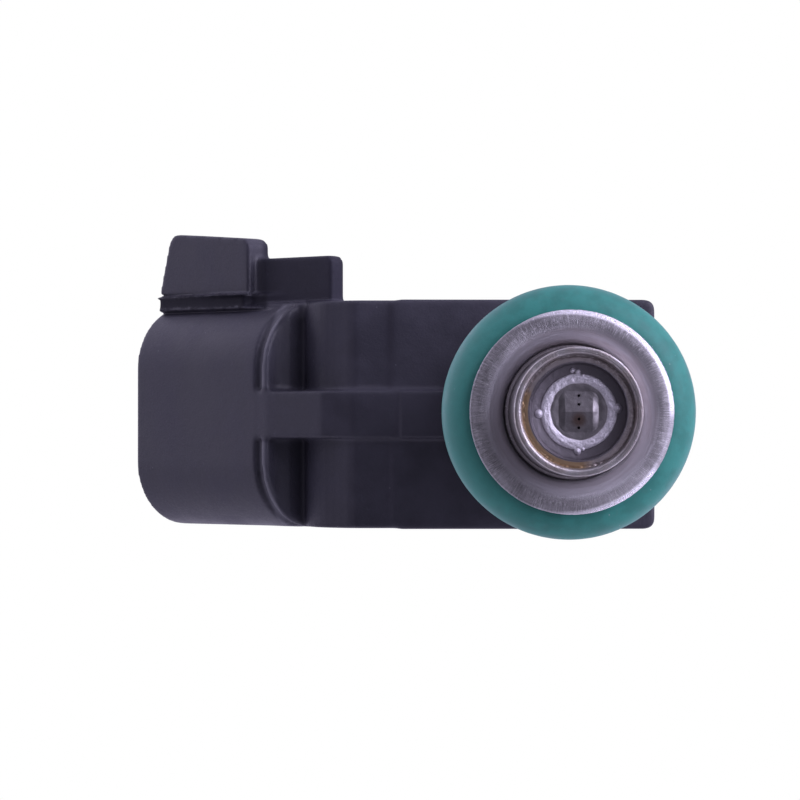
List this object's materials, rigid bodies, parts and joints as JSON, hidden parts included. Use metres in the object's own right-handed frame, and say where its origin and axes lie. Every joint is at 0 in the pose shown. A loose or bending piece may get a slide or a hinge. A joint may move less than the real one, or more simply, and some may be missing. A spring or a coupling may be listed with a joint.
{
  "type": "fuel injector",
  "caption": "Port fuel injector: solenoid ball valve in a steel can with a spray nozzle, two sealing rings and a leaning side-lock connector.",
  "frame": {"origin": "centre of the nozzle tube's spray-end face, on the injector's axis", "axes": "+Z along the axis from the spray end to the fuel inlet, +X towards the side of the electrical connector, +Y towards the connector's lock"},
  "size_m": [0.0333, 0.0193, 0.0581],
  "materials": {
    "moulded_plastic": "satin black, fine mould grain",
    "seal_rubber": "satin green",
    "nozzle_steel": "machined",
    "plate_steel": "rolled, heat-tinted at the welds",
    "ring_steel": "pressed, radially brushed edge",
    "can_steel": "drawn, satin",
    "magnetic_steel": "turned",
    "hard_steel": "ground",
    "ball_steel": "polished",
    "spring_steel": "drawn wire",
    "tin_plate": "tin-plated, satin",
    "copper_wire": "enamelled wire",
    "washer_plastic": "matte dark grey",
    "bobbin_nylon": "matte brown nylon",
    "filter_nylon": "matte",
    "filter_gauze": "fine woven gauze"
  },
  "bodies": {
    "injector_body": {"nozzle_tube": "nozzle_steel", "orifice_plate": "plate_steel", "valve_seat": "hard_steel", "ball_guide": "hard_steel", "return_spring": "spring_steel", "adjusting_sleeve": "hard_steel", "pole_piece": "magnetic_steel", "nonmagnetic_shell": "nozzle_steel", "coil_bobbin": "bobbin_nylon", "coil_winding": "copper_wire", "magnet_housing": "can_steel", "flux_washer": "magnetic_steel", "terminal_left": "tin_plate", "terminal_right": "tin_plate", "lower_retaining_ring": "ring_steel", "lower_o_ring": "seal_rubber", "lower_backup_washer": "washer_plastic", "overmold_body": "moulded_plastic", "inlet_tube": "can_steel", "upper_o_ring": "seal_rubber", "upper_backup_washer": "washer_plastic", "inlet_filter_frame": "filter_nylon", "inlet_filter_mesh": "filter_gauze"},
    "needle": {"valve_ball": "ball_steel", "needle_tube": "hard_steel", "armature": "magnetic_steel"}
  },
  "joints": [
    {"name": "needle_lift", "type": "slide", "parent": "injector_body", "child": "needle", "axis": [0, 0, 1], "range_m": [0, 0.00008], "stiffness_N_per_m": 2500, "springref_m": -0.0012, "deforming": ["return_spring"]}
  ]
}
